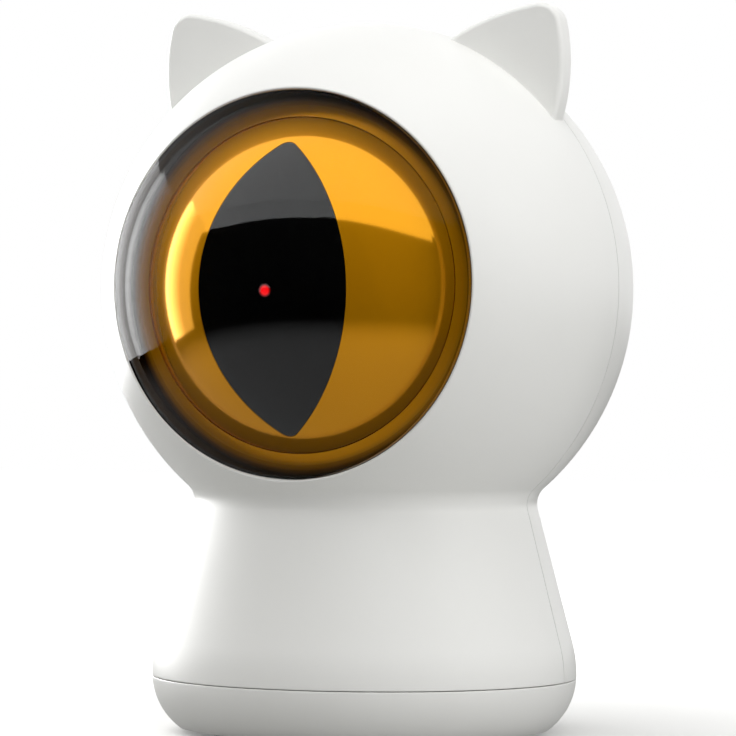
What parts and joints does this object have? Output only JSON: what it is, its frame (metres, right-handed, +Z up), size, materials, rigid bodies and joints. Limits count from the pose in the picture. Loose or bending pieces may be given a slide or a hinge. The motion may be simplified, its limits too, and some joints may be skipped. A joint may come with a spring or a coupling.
{
  "type": "automatic cat laser toy",
  "caption": "Round-headed laser toy with cat ears, a domed gold eye with a slit window, a panning and tilting laser inside and a flared battery foot.",
  "frame": {"origin": "centre of the bounding box at the rest plane, under the rubber feet", "axes": "+Z up, the eye looks along -Y, +X across the head"},
  "size_m": [0.078, 0.078, 0.1061],
  "materials": {
    "shell_white": "satin",
    "clear_cover": "polished clear",
    "gloss_black": "polished",
    "gold_mirror": "vacuum metallised mirror",
    "smoked_window": "polished smoked",
    "inner_black": "matt",
    "inner_white": "matt",
    "gear_plastic": "natural acetal",
    "screw_steel": "zinc plated",
    "motor_can": "nickel plated",
    "laser_brass": "turned",
    "bush_bronze": "sintered",
    "laser_glass": "polished",
    "board_green": "solder mask",
    "chip_black": "moulded",
    "socket_metal": "plated",
    "contact_metal": "nickel plated",
    "cell_wrap": "printed sleeve",
    "foot_rubber": "matt",
    "light_clear": "frosted clear"
  },
  "bodies": {
    "root": {"front_shell": "shell_white", "rear_shell": "shell_white", "shell_screws": "screw_steel", "lens_cover": "clear_cover", "eye_bezel": "gloss_black", "iris_dome": "gold_mirror", "pupil_window": "smoked_window", "iris_retainer": "inner_black", "retainer_screws": "screw_steel", "left_ear": "shell_white", "right_ear": "shell_white", "chassis": "inner_white", "chassis_screws": "screw_steel", "battery_cell_1": "cell_wrap", "battery_cell_2": "cell_wrap", "battery_cell_3": "cell_wrap", "battery_contacts": "contact_metal", "main_board": "board_green", "board_screws": "screw_steel", "controller_chip": "chip_black", "lead_connectors": "gear_plastic", "usb_socket": "socket_metal", "mechanism_frame": "inner_black", "frame_screws": "screw_steel", "pan_bush": "bush_bronze", "pan_motor": "motor_can", "motor_screws": "screw_steel", "mode_switch": "chip_black", "button_board": "board_green", "button_board_screws": "screw_steel", "status_led": "light_clear", "light_pipe": "light_clear"},
    "bottom_cover": {"bottom_cover": "shell_white", "rubber_feet": "foot_rubber"},
    "pan_yoke": {"pan_yoke": "inner_black", "pan_gear": "gear_plastic", "spindle_clip": "screw_steel", "tilt_motor": "motor_can"},
    "pan_pinion": {"pan_pinion": "gear_plastic", "pan_motor_shaft": "screw_steel"},
    "tilt_cradle": {"tilt_cradle": "inner_black", "tilt_shaft": "screw_steel", "tilt_gear": "gear_plastic", "laser_barrel": "laser_brass", "laser_lens": "laser_glass", "laser_board": "board_green"},
    "tilt_pinion": {"tilt_pinion": "gear_plastic", "tilt_motor_shaft": "screw_steel"},
    "mode_button": {"mode_button": "shell_white", "switch_plunger": "inner_black"}
  },
  "joints": [
    {"name": "cover_twist", "type": "hinge", "parent": "root", "child": "bottom_cover", "pos_m": [0, 0, 0.0082], "axis": [0, 0, -1], "range_deg": [0, 30]},
    {"name": "pan_turn", "type": "hinge", "parent": "root", "child": "pan_yoke", "pos_m": [0, -0.0055, 0.0485], "axis": [0, 0, 1], "range_deg": [-14, 14]},
    {"name": "pan_pinion_spin", "type": "hinge", "parent": "root", "child": "pan_pinion", "pos_m": [0, 0.0095, 0.0485], "axis": [0, 0, 1], "range_deg": [-58, 58]},
    {"name": "tilt_turn", "type": "hinge", "parent": "pan_yoke", "child": "tilt_cradle", "pos_m": [0, -0.0055, 0.065], "axis": [1, 0, 0], "range_deg": [-15, 28]},
    {"name": "tilt_pinion_spin", "type": "hinge", "parent": "pan_yoke", "child": "tilt_pinion", "pos_m": [0.0065, 0.0055, 0.065], "axis": [1, 0, 0], "range_deg": [-76, 42]},
    {"name": "button_press", "type": "slide", "parent": "root", "child": "mode_button", "axis": [0, -1, 0], "range_m": [0, 0.0005], "stiffness_N_per_m": 1000}
  ],
  "couplings": [
    {"joint": "pan_pinion_spin", "follows": "pan_turn", "ratio": -4},
    {"joint": "tilt_pinion_spin", "follows": "tilt_turn", "ratio": -2.6667}
  ]
}
